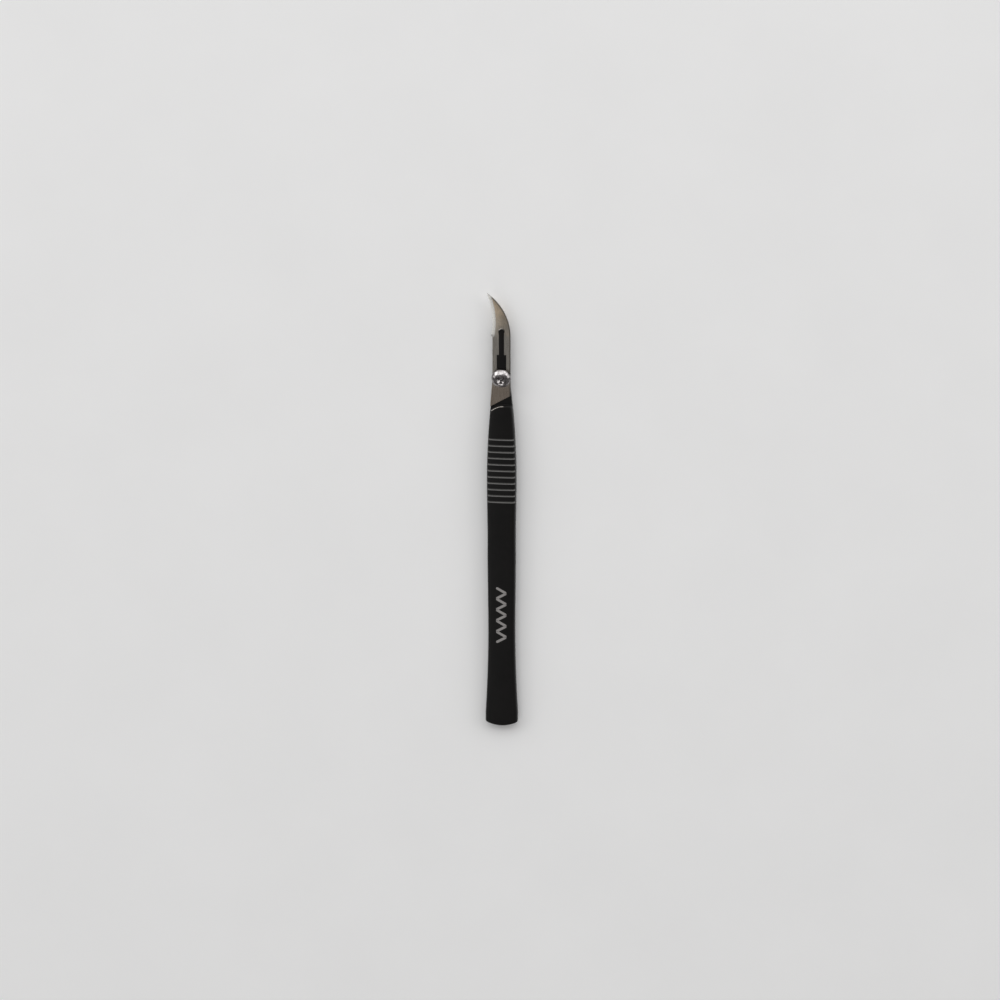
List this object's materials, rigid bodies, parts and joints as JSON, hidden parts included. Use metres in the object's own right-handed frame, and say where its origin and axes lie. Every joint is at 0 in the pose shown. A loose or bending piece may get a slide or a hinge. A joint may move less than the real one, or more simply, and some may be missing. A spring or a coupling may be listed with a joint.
{
  "type": "seam ripper",
  "caption": "Surgical-style seam ripper: flat black forged handle with a grooved grip and a hooked steel blade clamped by a cross-recess screw.",
  "frame": {"origin": "centre of the overall box, on the back face that it lies on", "axes": "+Y along the tool towards the blade's tip, +Z out of the front face that carries the blade and screw, +X to the right when the front is seen with the tip up"},
  "size_m": [0.0108, 0.1524, 0.0054],
  "materials": {
    "black_coat": "semi-gloss black baked coating over forged steel",
    "blade_steel": "finely ground carbon steel, polished at the bevel",
    "washer_steel": "plain oiled spring steel",
    "screw_chrome": "bright chrome plate"
  },
  "bodies": {
    "handle": {"handle": "black_coat"},
    "blade": {"blade": "blade_steel"},
    "washer": {"spring_washer": "washer_steel"},
    "screw": {"clamp_screw": "screw_chrome"}
  },
  "joints": [
    {"name": "screw_lift", "type": "slide", "parent": "handle", "child": "washer", "axis": [0, 0, 1], "range_m": [0, 0.002]},
    {"name": "screw_turn", "type": "hinge", "parent": "washer", "child": "screw", "pos_m": [0, 0.0467, 0], "axis": [0, 0, 1], "range_deg": [0, 1440]},
    {"name": "blade_slide", "type": "slide", "parent": "handle", "child": "blade", "axis": [0, 1, 0], "range_m": [0, 0.001]}
  ],
  "couplings": [
    {"joint": "screw_turn", "follows": "screw_lift", "rad_per_m": 12566}
  ]
}
